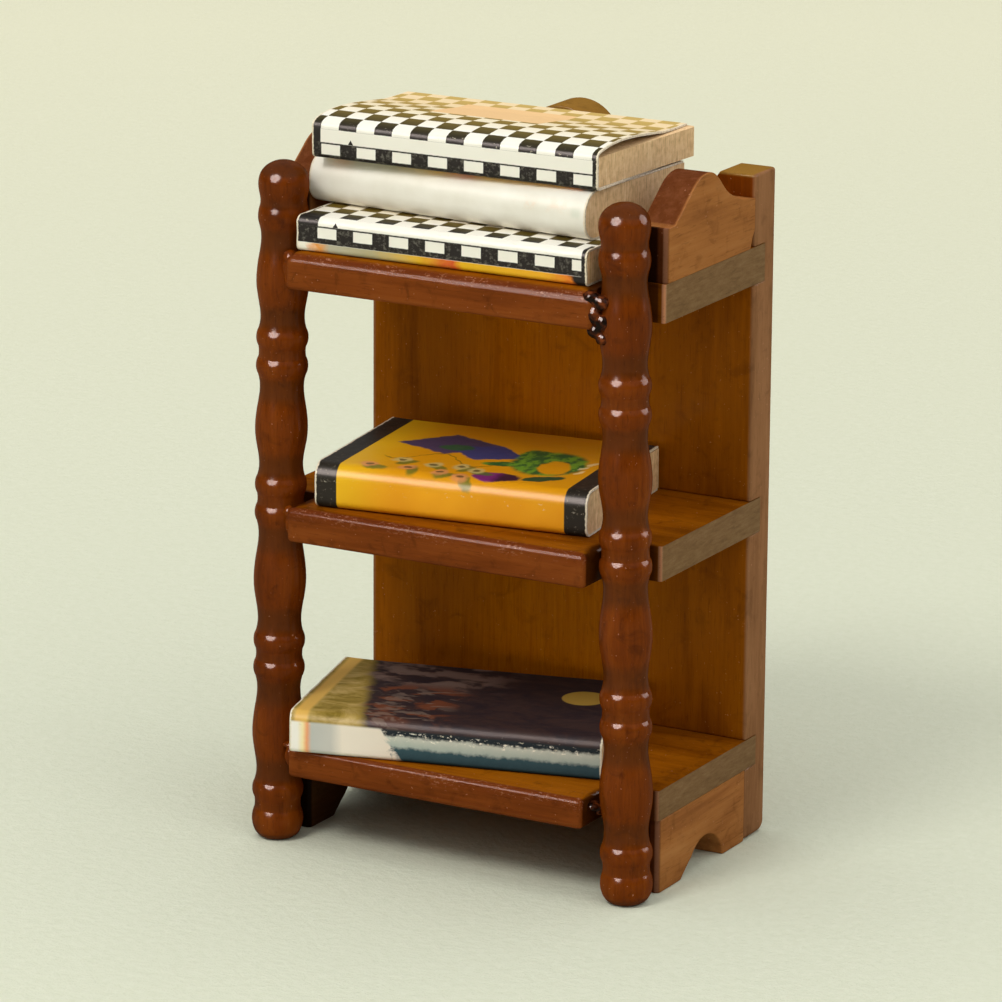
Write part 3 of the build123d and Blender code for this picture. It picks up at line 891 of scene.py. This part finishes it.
dark = Lying("dark_book")
jacket("dark_book", folded_section(dark, 0.5, 1.0), dark.height - 1.0,
       dark_print("dark_paper", dark.length), edge_material, 0.12, 1.3)
orange = Lying("orange_book")
jacket("orange_book", folded_section(orange, 0.9, 1.4), orange.height - 1.4,
       orange_print("orange_paper", orange.length), edge_material, 0.1, 5.1)
chequered = Lying("chequered_book")
jacket("chequered_book", folded_section(chequered, 0.5, 0.7), chequered.height - 0.35,
       chequer_print("chequer_paper_low", 2.15, chequered.length, 2.3, 2.4), edge_material, 0.0, 9.7)
cream = Lying("cream_book")
jacket("cream_book", folded_section(cream, 1.9, 2.3), cream.height - 1.0,
       plain_print("cream_paper", cream.length), edge_material, 0.0, 12.2)
arched = Lying("arched_book")
jacket("arched_book", arched_section(arched), 3.5,
       chequer_print("chequer_paper_top", 0.78, arched.length, 1.0, 0.95), edge_material, 0.0, 15.9)

# ---- Floor, light and camera ---------------------------------------------------------------------
YAW, PITCH, ROLL = 29.105, 15.408, 0.37
CAMERA_DISTANCE = 0.554929
CAMERA_TARGET = Vector((1.225, -3.215, 36.235)) * MM
LENS = 201.01
SENSOR_W = 36
SKY_STRENGTH = 1.02
FLOOR_R = 4.0


def floor():
    """The plain pale ground, with a slight nap, as a scene piece."""
    paint = Paint("floor_paper")
    place = paint.place()
    far = paint.node("VectorMath", {0: place}, operation="LENGTH").outputs["Value"]
    nap = paint.cloud(place, 0.9, 4.0, 0.7)
    colour = paint.ramp(paint.times(far, 1 / 500), (0.08, srgb(206, 211, 192)), (0.9, srgb(232, 232, 206)))
    colour = paint.blend(paint.times(paint.rise(nap, 0.3, 0.7), 0.12), colour, srgb(240, 240, 230))
    material = paint.finish(colour, 0.9, paint.bump(nap, 0.35, 0.6), specular_ior_level=0.0)
    form = bmesh.new()
    bmesh.ops.create_circle(form, cap_ends=True, segments=96, radius=FLOOR_R)
    mesh = bpy.data.meshes.new("floor")
    form.to_mesh(mesh)
    form.free()
    new_object("floor", mesh, [material])


def area_light(name, azimuth, elevation, distance, size, power, colour, glint=False):
    """A soft box that faces the object, placed by the azimuth and elevation of its light.

    A glint is seen only in glossy surfaces.
    """
    a, e = radians(azimuth), radians(elevation)
    back = Vector((sin(a) * cos(e), -cos(a) * cos(e), sin(e)))
    light = bpy.data.lights.new(name, "AREA")
    light.shape = "DISK"
    light.size = size
    light.energy = power
    light.color = colour
    made = bpy.data.objects.new(name, light)
    made.visible_diffuse = not glint
    made.location = Vector((0, 0, 0.04)) + back * distance
    made.rotation_mode = "QUATERNION"
    made.rotation_quaternion = (-back).to_track_quat("-Z", "Y")
    bpy.context.scene.collection.objects.link(made)


def soft_sky():
    """A studio that is bright overhead and dim round the sides, so that lacquer keeps its colour."""
    world = bpy.data.worlds.new("studio")
    world.use_nodes = True
    tree = world.node_tree
    direction = tree.nodes.new("ShaderNodeTexCoord")
    height = tree.nodes.new("ShaderNodeSeparateXYZ")
    glow = tree.nodes.new("ShaderNodeValToRGB")
    tree.links.new(direction.outputs["Generated"], height.inputs[0])
    tree.links.new(height.outputs["Z"], glow.inputs[0])
    tree.links.new(glow.outputs[0], tree.nodes["Background"].inputs[0])
    tree.nodes["Background"].inputs[1].default_value = SKY_STRENGTH
    low, high = glow.color_ramp.elements
    low.position, low.color = 0.12, (0.13, 0.13, 0.12, 1)
    high.position, high.color = 0.75, (1.0, 0.99, 0.95, 1)
    bpy.context.scene.world = world


soft_sky()
floor()
area_light("key", -12, 48, 0.9, 0.3, 3.2, (1.0, 0.965, 0.92))
area_light("fill", 70, 35, 1.2, 1.2, 2.6, (1.0, 0.985, 0.95))
area_light("glint_left", -15, 31, 0.9, 0.72, 100.0, (1.0, 0.86, 0.8), glint=True)
area_light("glint_right", 128, 21, 0.9, 0.6, 22.0, (1.0, 0.88, 0.84), glint=True)
bpy.context.scene.view_settings.view_transform = "Standard"

yaw, pitch, roll = radians(YAW), radians(PITCH), radians(ROLL)
forward = Vector((-sin(yaw) * cos(pitch), cos(yaw) * cos(pitch), -sin(pitch)))
level = Vector((cos(yaw), sin(yaw), 0))
rise = level.cross(forward)
right = level * cos(roll) + rise * sin(roll)
upward = rise * cos(roll) - level * sin(roll)
camera = bpy.data.cameras.new("camera")
camera.lens = LENS
camera.sensor_width = SENSOR_W
camera.clip_start = 0.01
view = bpy.data.objects.new("camera", camera)
axes = Matrix((right, upward, -forward)).transposed()
view.matrix_world = Matrix.Translation(CAMERA_TARGET - forward * CAMERA_DISTANCE) @ axes.to_4x4()
bpy.context.scene.collection.objects.link(view)
bpy.context.scene.camera = view
